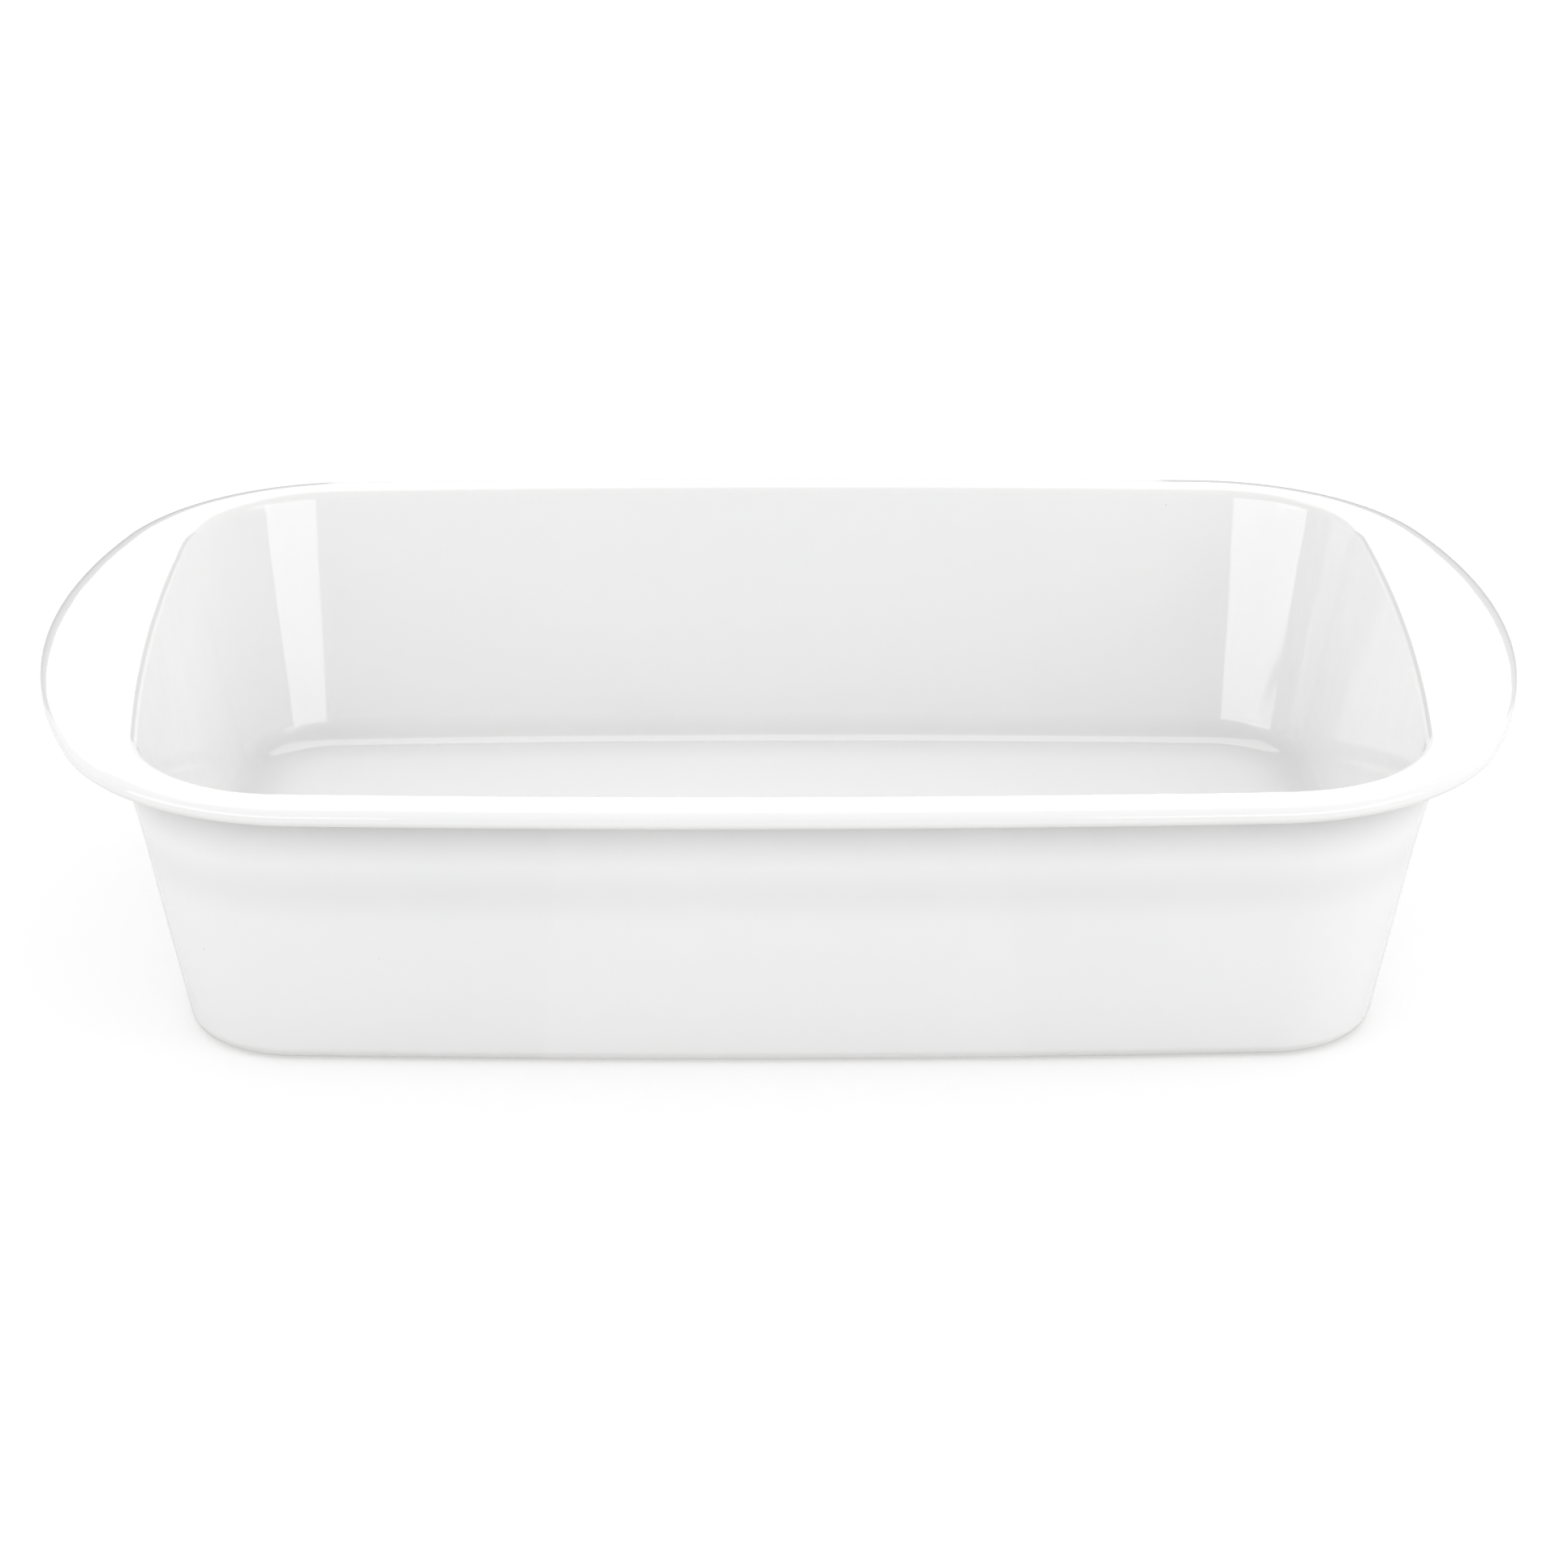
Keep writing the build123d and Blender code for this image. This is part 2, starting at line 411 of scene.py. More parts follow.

# %% [markdown]
# ## Drawing the template
#
# The template is the section of the glazed dish, drawn as a walk. It starts under the middle of the floor,
# goes out to the foot ring, round it, up the outside, round the rim, down the inside and back to the middle
# of the floor. The air is always on the right hand, so each point knows which way its surface faces, as an
# angle: 0 is outwards, 90 is up, 180 is inwards and 270 is down.
#
# A corner of the walk is rounded by an arc that touches both faces. Where the angle grows, the edge is
# convex and the glaze thins on it. Where it falls, the corner is hollow and glaze pools there. Both darken
# the colour, partly as painted shade.

# %% [markdown]
# ## Where glaze gathers and thins, and where shade is painted
#
# Melted glaze creeps. It pools in hollows and thins on convex edges. Each point of the walk carries this as
# one number: above 0 there is more glaze than on a flat and the colour turns deeper, and below 0 there is
# less and it turns to the tone of thin glaze. The same number also carries painted shade, so these darker
# tones are partly painted shade. An arc's own share is greatest at its middle. A run carries the number on
# past the end of an arc: down the wall under the rim, where it is painted shade alone, and out over the floor
# from its rounded edge, where it is partly pooled glaze and partly painted shade. The shoulder of the outer
# wall holds none, but a faint band of painted shade lies a few millimetres below it.

# %% How much glaze gathers and thins, and how much shade is painted
POOL_AND_SHADE_RADIUS = 2.5 * MM
POOL_AND_SHADE_FADE = 1.5
# Painted shade that runs down the wall from under the rim.
PAINTED_SHADE_UNDER_RIM = 1.0
# Deeper tone round the floor's edge: partly pooled glaze, partly painted shade.
FLOOR_POOL_AND_SHADE = 0.26
FLOOR_POOL_AND_SHADE_REACH = 11.0 * MM
# A soft band of painted shade below the shoulder of the outer wall.
SHADE_BAND_DROP = 3.7 * MM
SHADE_BAND_REACH = 9.6 * MM
SHADE_BAND_DEPTH = 0.18
# Thin tone on the rim's roll: partly thin glaze, partly painted shade.
ROLL_THIN_AND_SHADE = 0.12
# Thin tone on the mouth's edge: partly thin glaze, partly painted shade.
MOUTH_THIN_AND_SHADE = 0.45

# %% Points of the walk
ARC_STEP = 7.5
LEAST_STEPS = 6


def lean(height, draft):
    """How far a wall with this draft leans over a height."""
    return height * math.tan(math.radians(draft))


def rounding(offset, height, facing, next_facing, radius, ear=0.0, start=None, middle_pool_and_shade=None, end_pool_and_shade=(0.0, 0.0)):
    """Arc that rounds the corner where two faces would meet, as points of the walk.

    The middle value is how much glaze gathers at the arc's middle, and the end values are how much lies at
    its first and last point. These values also carry painted shade, which darkens the colour like deeper and
    thinner glaze.
    """
    half = math.radians(abs(next_facing - facing) / 2)
    middle = math.radians((facing + next_facing) / 2)
    bulge = 1.0 if next_facing > facing else -1.0
    reach = bulge * radius / math.cos(half)
    centre_x = offset - reach * math.cos(middle)
    centre_z = height - reach * math.sin(middle)
    first = facing if start is None else start
    steps = max(LEAST_STEPS, round(abs(next_facing - first) / ARC_STEP))
    arc_pool_and_shade = min(1.0, POOL_AND_SHADE_RADIUS / radius) if middle_pool_and_shade is None else middle_pool_and_shade
    points = []
    for step in range(steps + 1):
        share = step / steps
        angle = first + (next_facing - first) * share
        x = centre_x + bulge * radius * math.cos(math.radians(angle))
        z = centre_z + bulge * radius * math.sin(math.radians(angle))
        # Hollows get a deeper tone and convex edges a thinner one: partly glaze, partly painted shade.
        pool_and_shade = -bulge * arc_pool_and_shade * math.sin(math.pi * share)
        pool_and_shade += end_pool_and_shade[0] * (1.0 - share) ** 2 + end_pool_and_shade[1] * share ** 2
        points.append({"x": x, "z": z, "facing": angle, "ear": ear, "spread": 1.0, "pool_and_shade": pool_and_shade})
    return points


def rolled_edge(width, height, steps):
    """Quarter of an oval that rolls the top of the rim over its outer edge, as points of the walk."""
    points = []
    for step in range(steps + 1):
        angle = math.pi / 2 * step / steps
        x = width * (math.cos(angle) - 1.0)
        z = HEIGHT + height * (math.sin(angle) - 1.0)
        facing = 360.0 + math.degrees(math.atan2(math.sin(angle) / height, math.cos(angle) / width))
        # The outer side of the roll turns to the thin tone: partly thin glaze, partly painted shade.
        pool_and_shade = -ROLL_THIN_AND_SHADE * (1.0 - math.sin(angle)) ** 2
        points.append({"x": x, "z": z, "facing": facing, "ear": 1.0, "spread": 1.0, "pool_and_shade": pool_and_shade})
    return points


# %% Stretches between the arcs
def stretch(start, end, steps):
    """Points between two points of the walk, closer together near both ends to keep the shading even."""
    points = []
    for step in range(1, steps):
        share = (1 - math.cos(math.pi * step / steps)) / 2
        point = {key: start[key] + (end[key] - start[key]) * share for key in start}
        # Pooled glaze and painted shade fade from both ends along the stretch.
        point["pool_and_shade"] = start["pool_and_shade"] * (1.0 - share) ** POOL_AND_SHADE_FADE + end["pool_and_shade"] * share ** POOL_AND_SHADE_FADE
        points.append(point)
    return points


def joined(pieces, steps):
    """One walk from several arcs, with straight stretches between them."""
    walk = list(pieces[0])
    for piece, count in zip(pieces[1:], steps):
        walk += stretch(walk[-1], piece[0], count) + piece
    return walk


def with_shade_band(walk, middle):
    """The same walk, with a soft band of painted shade round one height of the outer wall."""
    changed = []
    for point in walk:
        on_outside = point["facing"] < 360.0
        near = max(0.0, 1.0 - abs(point["z"] - middle) / SHADE_BAND_REACH) if on_outside else 0.0
        band_shade = SHADE_BAND_DEPTH * math.sin(math.pi / 2 * near) ** 2
        changed.append(dict(point, pool_and_shade=point["pool_and_shade"] + band_shade))
    return changed


def middle_of(point):
    """The point at the middle of a floor, level with another point."""
    return dict(point, spread=0.0, pool_and_shade=0.0)


# %% The walk round the whole glazed section
BELOW_SHOULDER = HEIGHT - SHOULDER_DROP
SHOULDER_OUT = WALL - lean(SHOULDER_DROP, UPPER_DRAFT)
GROUND = -COAT
ROLL_STEPS = 16
BASE_OUT = SHOULDER_OUT - lean(BELOW_SHOULDER, LOWER_DRAFT)
FOOT_REACH = FOOT_EDGE * math.tan(math.radians((90 + LOWER_DRAFT) / 2))
RECESS_OUT = BASE_OUT - FOOT_REACH - FOOT_RING - COAT / math.cos(math.radians(RECESS_DRAFT))
RECESS_TOP = recess_high.z - COAT
UNDERSIDE = HEIGHT - RIM
UNDER_OUT = WALL - lean(RIM, UPPER_DRAFT)
FLOOR_OUT = -lean(HEIGHT - FLOOR, INNER_DRAFT)

recess_arc = rounding(
    RECESS_OUT - lean(RECESS_TOP, RECESS_DRAFT), RECESS_TOP, 270.0, 180.0 + RECESS_DRAFT, RECESS_CORNER
)
ring_inside = rounding(
    RECESS_OUT + lean(COAT, RECESS_DRAFT), GROUND, 180.0 + RECESS_DRAFT, 270.0, RING_EDGE
)
foot_arc = rounding(BASE_OUT - lean(COAT, LOWER_DRAFT), GROUND, 270.0, 360.0 - LOWER_DRAFT, FOOT_EDGE)
shoulder_arc = rounding(
    SHOULDER_OUT, BELOW_SHOULDER, 360.0 - LOWER_DRAFT, 360.0 - UPPER_DRAFT, SHOULDER_SOFTNESS, middle_pool_and_shade=0.0
)
# Painted shade runs down the wall from under the rim.
crease_arc = rounding(UNDER_OUT, UNDERSIDE, 360.0 - UPPER_DRAFT, 270.0, CREASE, end_pool_and_shade=(PAINTED_SHADE_UNDER_RIM, 0.0))
# The rim's under edge turns to the thin tone: partly thin glaze, partly painted shade.
under_arc = rounding(0.0, UNDERSIDE, 270.0, 360.0, UNDER_EDGE, ear=1.0, end_pool_and_shade=(0.0, -ROLL_THIN_AND_SHADE))
roll_arc = rolled_edge(ROLL_WIDTH, ROLL_HEIGHT, ROLL_STEPS)
# The mouth's edge turns to the thin tone: partly thin glaze, partly painted shade.
mouth_arc = rounding(0.0, HEIGHT, 450.0, 540.0 - INNER_DRAFT, MOUTH_EDGE, middle_pool_and_shade=MOUTH_THIN_AND_SHADE)
# Round the floor's edge and out over it the colour deepens: partly pooled glaze, partly painted shade.
floor_arc = rounding(FLOOR_OUT, FLOOR, 540.0 - INNER_DRAFT, 450.0, FLOOR_FILLET, end_pool_and_shade=(0.0, FLOOR_POOL_AND_SHADE))
floor_ring = dict(floor_arc[-1], x=floor_arc[-1]["x"] - FLOOR_POOL_AND_SHADE_REACH, pool_and_shade=0.0)
print("the foot ring is", round((BASE_OUT - FOOT_REACH - RECESS_OUT) / MM, 2), "mm wide under its glaze line")

# %% [markdown]
# ## Three pieces from one walk
#
# The whole walk, moved inwards by the thickness of the coat, is the bare clay body. The glaze is what lies
# between the two walks, and it comes as two separate coats, because the ring that the dish stands on is
# wiped clean before firing. Each coat is a closed skin: out along the glazed walk, round a small lip where
# it ends, and back along the clay. So no piece has an open edge, and each one could be printed or weighed
# by itself.

# %% The clay side of a coat, and its lip
def inwards(walk, depth):
    """The same walk, moved into the clay by a depth."""
    moved = []
    for point in walk:
        angle = math.radians(point["facing"])
        x = point["x"] - depth * math.cos(angle)
        z = point["z"] - depth * math.sin(angle)
        moved.append(dict(point, x=x, z=z))
    return moved


LIP_LIFT = COAT / 4
LIP_STEPS = 5


def lip(point):
    """Half round edge that ends a coat, from its outer face to the clay."""
    centre = inwards([point], COAT / 2)[0]
    edge = []
    for step in range(1, LIP_STEPS):
        angle = math.radians(point["facing"] + point["way"] * 180.0 * step / LIP_STEPS)
        x = centre["x"] + COAT / 2 * math.cos(angle)
        z = centre["z"] + COAT / 2 * math.sin(angle)
        edge.append({"x": x, "z": z, "facing": 0.0, "ear": 0.0, "spread": 1.0, "pool_and_shade": 0.0})
    return edge


# %% The three loops
wipe_angle = 360.0 + math.degrees(math.asin((BARE + LIP_LIFT - (GROUND + FOOT_EDGE)) / FOOT_EDGE))
glazed_foot = rounding(
    BASE_OUT - lean(COAT, LOWER_DRAFT), GROUND, 270.0, 360.0 - LOWER_DRAFT, FOOT_EDGE, start=wipe_angle
)
outside = [glazed_foot, shoulder_arc, crease_arc, under_arc, roll_arc, mouth_arc, floor_arc]
basin_floor = [[floor_ring], [middle_of(floor_ring)]]
# Steps of the stretches between the arcs, in the order of the walk.
UNDER_STEPS = [12, 2]
BARE_FOOT_STEPS = [4, 12]
GLAZED_FOOT_STEPS = [16]
UP_AND_OVER_STEPS = [8, 10, 2, 12, 14, 5, 12]

plain_walk = joined(outside + basin_floor, GLAZED_FOOT_STEPS + UP_AND_OVER_STEPS)
# A soft band of painted shade lies below the shoulder.
coat_walk = with_shade_band(plain_walk, BELOW_SHOULDER - SHADE_BAND_DROP)
coat_end = dict(coat_walk[0], way=-1.0)
coat_loop = coat_walk + inwards(coat_walk, COAT)[::-1] + lip(coat_end)[::-1] + [coat_walk[0]]

wall_end = dict(recess_arc[-1])
wall_end["x"] += lean(wall_end["z"] - BARE - LIP_LIFT, RECESS_DRAFT)
wall_end["z"] = BARE + LIP_LIFT
recess_walk = joined([[middle_of(recess_arc[0])], recess_arc, [wall_end]], UNDER_STEPS)
recess_end = dict(recess_walk[-1], way=1.0)
recess_loop = recess_walk + lip(recess_end) + inwards(recess_walk, COAT)[::-1]

under = [[middle_of(recess_arc[0])], recess_arc, ring_inside, foot_arc]
clay_steps = UNDER_STEPS + BARE_FOOT_STEPS + UP_AND_OVER_STEPS
clay_walk = joined(under + outside[1:] + basin_floor, clay_steps)
clay_loop = inwards(clay_walk, COAT)
print("template points:", len(coat_loop), "coat,", len(recess_loop), "recess,", len(clay_loop), "clay")

# %% [markdown]
# ## Effects that the finishes share
#
# Three effects show on more than one of the finishes, so each is a shader node group with its own values in
# every material. Fired clay has a slow drift of tone, a few iron specks smaller than a pinhead, and a
# surface that isn't quite flat: glaze has a fine orange peel, bare clay a grain. The groups hand out masks
# and heights only. The shader that uses them stays in the material.

# %% Group: slow drift of tone
CLOUD_FINENESS = 7.0
DRIFT_CONTRAST = 2.4


def tone_drift_group():
    """Mask from 0 to 1 that drifts slowly over the piece, with a finer cloud in it."""
    tree, given, end_node = new_tree(
        "tone drift", "ShaderNodeTree", {"Patch Size": FLOAT, "Cloudiness": FLOAT}, {"Mask": FLOAT}
    )
    spot = out(place(tree, "ShaderNodeTexCoord"), "Object")
    slow = place(tree, "ShaderNodeTexNoise", {"Vector": spot, "Detail": 2.0, "Roughness": 0.5})
    feed(slow.inputs["Scale"], given["Patch Size"].calc("POWER", -1.0))
    fine = place(tree, "ShaderNodeTexNoise", {"Vector": spot, "Detail": 3.0, "Roughness": 0.6})
    feed(fine.inputs["Scale"], given["Patch Size"].calc("POWER", -1.0) * CLOUD_FINENESS)
    mixed = out(slow).towards(out(fine), given["Cloudiness"])
    feed(end_node.inputs["Mask"], ((mixed - 0.5) * DRIFT_CONTRAST + 0.5).clamped())
    return tree


# %% Group: iron specks
SMALLEST_SPECK = 0.3
SPECK_EDGE = 0.5


def iron_speck_group():
    """Mask that is 1 on a few small round specks, scattered with an even chance over the piece."""
    names = {"Spacing": FLOAT, "Speck Size": FLOAT, "Chance": FLOAT}
    tree, given, end_node = new_tree("iron specks", "ShaderNodeTree", names, {"Mask": FLOAT})
    spot = out(place(tree, "ShaderNodeTexCoord"), "Object")
    cells = place(tree, "ShaderNodeTexVoronoi", {"Vector": spot})
    feed(cells.inputs["Scale"], given["Spacing"].calc("POWER", -1.0))
    draw = place(tree, "ShaderNodeSeparateColor", {0: out(cells, "Color")})
    share = out(draw, "Green") * (1.0 - SMALLEST_SPECK) + SMALLEST_SPECK
    size = given["Speck Size"] * share / given["Spacing"]
    soft_edge = ((size - out(cells, "Distance")) / (size * SPECK_EDGE)).clamped()
    chosen = given["Chance"].calc("GREATER_THAN", out(draw, "Red"))
    feed(end_node.inputs["Mask"], soft_edge * chosen)
    return tree


# %% Group: skin relief
GRAIN_FINENESS = 6.0
SWAY_LENGTH = 3.0


def skin_relief_group():
    """Height of the fine relief: a soft ripple with a finer grain on it, on a longer, slow sway."""
    names = {"Ripple Size": FLOAT, "Grain": FLOAT, "Sway": FLOAT}
    tree, given, end_node = new_tree("skin relief", "ShaderNodeTree", names, {"Height": FLOAT})
    spot = out(place(tree, "ShaderNodeTexCoord"), "Object")
    ripple = place(tree, "ShaderNodeTexNoise", {"Vector": spot, "Detail": 1.0, "Roughness": 0.4})
    feed(ripple.inputs["Scale"], given["Ripple Size"].calc("POWER", -1.0))
    grain = place(tree, "ShaderNodeTexNoise", {"Vector": spot, "Detail": 4.0, "Roughness": 0.7})
    feed(grain.inputs["Scale"], given["Ripple Size"].calc("POWER", -1.0) * GRAIN_FINENESS)
    sway = place(tree, "ShaderNodeTexNoise", {"Vector": spot, "Detail": 0.0})
    feed(sway.inputs["Scale"], given["Ripple Size"].calc("POWER", -1.0) / SWAY_LENGTH)
    feed(end_node.inputs["Height"], out(ripple) + out(grain) * given["Grain"] + out(sway) * given["Sway"])
    return tree


DRIFT, SPECKS, RELIEF = tone_drift_group(), iron_speck_group(), skin_relief_group()
print("shared effects:", [group.name for group in (DRIFT, SPECKS, RELIEF)])

# %% [markdown]
# ## The finishes
#
# The glaze is a clear, glossy glass over very white clay. Light that enters it comes back white, and about
# 4 per cent bounces off the smooth top, which is what a clear glass with an index of 1.52 does. Where glaze
# pools it looks greyer, and where it thins on an edge the clay shows through and dulls it a little. The same
# greyer and duller tones are also painted shade: under the rim, in a band on the outer wall, round the
# floor of the basin and on the edges of the rim and the mouth. The recess under the foot gets a thinner coat,
# with less gloss. The bare ring is fired clay: warm, matt and grainy.

# %% One builder for all three finishes
# How strongly pooled glaze, thin glaze and painted shade show.
LEAST_POOL_AND_SHADE = 0.85
POOL_AND_SHADE_DRIFT = 0.3
EDGE_SHARE = 0.9
SPECK_SHARE = 0.6
SPECK_ROUGHNESS = 0.1


def group_node(tree, group, values):
    """A placed shader group with its values written in."""
    made = place(tree, "ShaderNodeGroup", node_tree=group)
    for label, value in values.items():
        feed(made.inputs[label], value)
    return out(made)


def blend(tree, first, second, share):
    """A colour a share of the way from one to the other."""
    mixed = place(tree, "ShaderNodeMix", {"Factor": share}, data_type="RGBA")
    feed(mixed.inputs["A"], first)
    feed(mixed.inputs["B"], second)
    return out(mixed, "Result")


def fired_finish(name, tone, cool, pool_and_shade_tone, edge, speck, rough, relief, drift, specks, relief_depth, ior=1.52):
    """Material for a fired surface. Tones are linear colours, rough is the least and most roughness."""
    material = bpy.data.materials.new(name)
    material.use_nodes = True
    tree = material.node_tree
    shader = tree.nodes["Principled BSDF"]
    drift_mask = group_node(tree, DRIFT, drift)
    speck_mask = group_node(tree, SPECKS, specks)
    # The walk's number: pooled and thin glaze, and painted shade.
    depth = out(place(tree, "ShaderNodeAttribute", attribute_name="pool_and_shade"), "Fac")
    colour = blend(tree, tone, cool, drift_mask)
    uneven = drift_mask * POOL_AND_SHADE_DRIFT + LEAST_POOL_AND_SHADE
    # Deeper and thinner tones follow that number: pooled and thin glaze, and painted shade.
    colour = blend(tree, colour, pool_and_shade_tone, (depth * uneven).clamped())
    colour = blend(tree, colour, edge, (depth * -EDGE_SHARE).clamped())
    colour = blend(tree, colour, speck, speck_mask * SPECK_SHARE)
    feed(shader.inputs["Base Color"], colour)
    roughness = drift_mask * (rough[1] - rough[0]) + rough[0] + speck_mask * SPECK_ROUGHNESS
    feed(shader.inputs["Roughness"], roughness)
    height = group_node(tree, RELIEF, relief)
    bump = place(tree, "ShaderNodeBump", {"Height": height, "Distance": relief_depth, "Strength": 1.0})
    feed(shader.inputs["Normal"], out(bump))
    shader.inputs["IOR"].default_value = ior
    return material


# %% Tones and values of the finishes
GLAZE_WHITE = (0.860, 0.860, 0.857, 1.0)
GLAZE_COOL = (0.842, 0.846, 0.844, 1.0)
# The deep tone is pooled glaze and painted shade, and the edge tone thin glaze and painted shade.
GLAZE_POOL_AND_SHADE = (0.590, 0.592, 0.588, 1.0)
GLAZE_THIN_AND_SHADE = (0.765, 0.762, 0.752, 1.0)
GLAZE_THIN = (0.775, 0.766, 0.740, 1.0)
GLAZE_SPECK = (0.40, 0.37, 0.33, 1.0)
CLAY_WHITE = (0.70, 0.685, 0.645, 1.0)
CLAY_COOL = (0.63, 0.615, 0.575, 1.0)
CLAY_EDGE = (0.60, 0.57, 0.52, 1.0)
CLAY_SPECK = (0.30, 0.25, 0.20, 1.0)

basin_glaze = fired_finish(
    "white gloss glaze", GLAZE_WHITE, GLAZE_COOL, GLAZE_POOL_AND_SHADE, GLAZE_THIN_AND_SHADE, GLAZE_SPECK,
    rough=(0.045, 0.085),
    relief={"Ripple Size": 6.0 * MM, "Grain": 0.10, "Sway": 4.5},
    drift={"Patch Size": 70.0 * MM, "Cloudiness": 0.3},
    specks={"Spacing": 9.0 * MM, "Speck Size": 0.32 * MM, "Chance": 0.16},
    relief_depth=0.020 * MM,
)
recess_glaze = fired_finish(
    "thin glaze under the foot", GLAZE_COOL, GLAZE_THIN, GLAZE_POOL_AND_SHADE, GLAZE_THIN_AND_SHADE, GLAZE_SPECK,
    rough=(0.12, 0.24),
    relief={"Ripple Size": 4.0 * MM, "Grain": 0.25, "Sway": 4.0},
    drift={"Patch Size": 40.0 * MM, "Cloudiness": 0.5},
    specks={"Spacing": 7.0 * MM, "Speck Size": 0.35 * MM, "Chance": 0.25},
    relief_depth=0.025 * MM,
)
bare_clay = fired_finish(
    "bare fired clay", CLAY_WHITE, CLAY_COOL, CLAY_COOL, CLAY_EDGE, CLAY_SPECK,
    rough=(0.62, 0.80),
    relief={"Ripple Size": 0.9 * MM, "Grain": 0.8, "Sway": 2.0},
    drift={"Patch Size": 16.0 * MM, "Cloudiness": 0.6},
    specks={"Spacing": 4.0 * MM, "Speck Size": 0.30 * MM, "Chance": 0.30},
    relief_depth=0.030 * MM,
    ior=1.45,
)

# %% [markdown]
# ## Making the pieces
#
# Each piece starts as its template, gets the sweep tree as a modifier with every input set by its
# identifier, and is turned into a plain mesh. The values are the same for all three, so the coat and the
# clay meet exactly.

# %% Values for the sweep
SWEEP_VALUES = {
    "Half Length": HALF_LENGTH,
    "Half Width": HALF_WIDTH,
    "Ear Bow": EAR_BOW,
    "Ear Corner": EAR_CORNER,
    "Ear Width": EAR,
    "Side Rim": SIDE_RIM,
    "Mouth Corner": MOUTH_CORNER,
    "Mouth End Bow": MOUTH_END_BOW,
    "Mouth Side Bow": MOUTH_SIDE_BOW,
    "End Steps": 16,
    "Corner Steps": 30,
    "Side Steps": 18,
    "Wave Height": 0.5 * MM,
    "Wave Length": 75.0 * MM,
    "Still Below": 2.6 * MM,
    "Still Above": 72.0 * MM,
    "Seed": 4.0,
}


# %% Sweep one template
def template_mesh(name, loop):
    """The walk as a mesh of points and edges, with its three attributes."""
    mesh = bpy.data.meshes.new(name)
    edges = [(start, start + 1) for start in range(len(loop) - 1)]
    mesh.from_pydata([(point["x"], 0.0, point["z"]) for point in loop], edges, [])
    for key in ("ear", "spread", "pool_and_shade"):
        attribute = mesh.attributes.new(key, "FLOAT", "POINT")
        attribute.data.foreach_set("value", [point[key] for point in loop])
    return mesh


def signed_volume(mesh):
    """Volume inside a closed mesh, negative where its faces point inwards."""
    mesh.calc_loop_triangles()
    spots = [vertex.co for vertex in mesh.vertices]
    corners = (tuple(spots[index] for index in face.vertices) for face in mesh.loop_triangles)
    return sum(a.dot(b.cross(c)) for a, b, c in corners) / 6


def swept_piece(name, loop, material, node):
    """Sweeps a template into a finished piece that replaces one CAD node."""
    piece = bpy.data.objects.new(name, template_mesh(name + " template", loop))
    bpy.context.scene.collection.objects.link(piece)
    modifier = piece.modifiers.new("sweep", "NODES")
    modifier.node_group = SWEEP
    wanted = dict(SWEEP_VALUES, Material=material)
    for item in SWEEP.interface.items_tree:
        if item.in_out == "INPUT" and item.name in wanted:
            modifier[item.identifier] = wanted[item.name]
    seen = piece.evaluated_get(bpy.context.evaluated_depsgraph_get())
    mesh = bpy.data.meshes.new_from_object(seen)
    piece.modifiers.remove(modifier)
    piece.data = mesh
    if signed_volume(mesh) < 0:
        mesh.flip_normals()
    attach(piece, "root")
    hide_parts(node)
    print(name, len(mesh.polygons), "faces,", round(signed_volume(mesh) / MM**3), "mm3")
    return piece


# %% The three pieces
bare_body = swept_piece("bare_body", clay_loop, bare_clay, "porcelain_body")
glaze_skin = swept_piece("glaze_skin", coat_loop, basin_glaze, "glaze_coat")
foot_glaze = swept_piece("foot_recess_glaze", recess_loop, recess_glaze, "base_glaze")

# %% [markdown]
# ## The floor of the studio
#
# The dish stands on a plain white floor. Camera, glossy and transmitted rays see it as white, with the
# dish's soft shadow on it, and all other rays see an ordinary pale floor, so the floor sends no more light
# up than paper would.

# %% White paper
FLOOR_ALBEDO = (0.92, 0.92, 0.92, 1.0)
SEEN_ALBEDO = (0.52, 0.52, 0.52, 1.0)
SEEN_LIFT = 0.48
WHITE = (1.0, 1.0, 1.0, 1.0)


def seen_directly(tree):
    """1 for camera, glossy and transmission rays, and 0 for the rays that carry light around."""
    path = place(tree, "ShaderNodeLightPath")
    glossy_or_clear = out(path, "Is Glossy Ray").calc("MAXIMUM", out(path, "Is Transmission Ray"))
    return out(path, "Is Camera Ray").calc("MAXIMUM", glossy_or_clear)


def floor_material():
    """Pale paper that reads as white wherever it is seen and keeps a shadow."""
    material = bpy.data.materials.new("white paper floor")
    material.use_nodes = True
    tree = material.node_tree
    tree.nodes.clear()
    direct = seen_directly(tree)
    paper = place(tree, "ShaderNodeBsdfDiffuse", {"Color": blend(tree, FLOOR_ALBEDO, SEEN_ALBEDO, direct)})
    lift = place(tree, "ShaderNodeEmission", {"Color": WHITE, "Strength": direct * SEEN_LIFT})
    both = place(tree, "ShaderNodeAddShader", {0: out(paper), 1: out(lift)})
    place(tree, "ShaderNodeOutputMaterial", {"Surface": out(both)})
    return material


# %% The floor itself
def flat_sheet(name, centre, across, up, material):
    """A flat rectangle, given by its centre and its two half sides."""
    mesh = bpy.data.meshes.new(name)
    corners = [centre - across - up, centre + across - up, centre + across + up, centre - across + up]
    mesh.from_pydata(corners, [], [(0, 1, 2, 3)])
    mesh.materials.append(material)
    sheet = bpy.data.objects.new(name, mesh)
    bpy.context.scene.collection.objects.link(sheet)
    sheet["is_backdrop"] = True
    return sheet


FLOOR_SIZE = 6.0
across_floor = Vector((FLOOR_SIZE / 2, 0, 0))
up_floor = Vector((0, FLOOR_SIZE / 2, 0))
floor = flat_sheet("paper_floor", Vector((0, 0, 0)), across_floor, up_floor, floor_material())
print("floor:", FLOOR_SIZE, "m square")

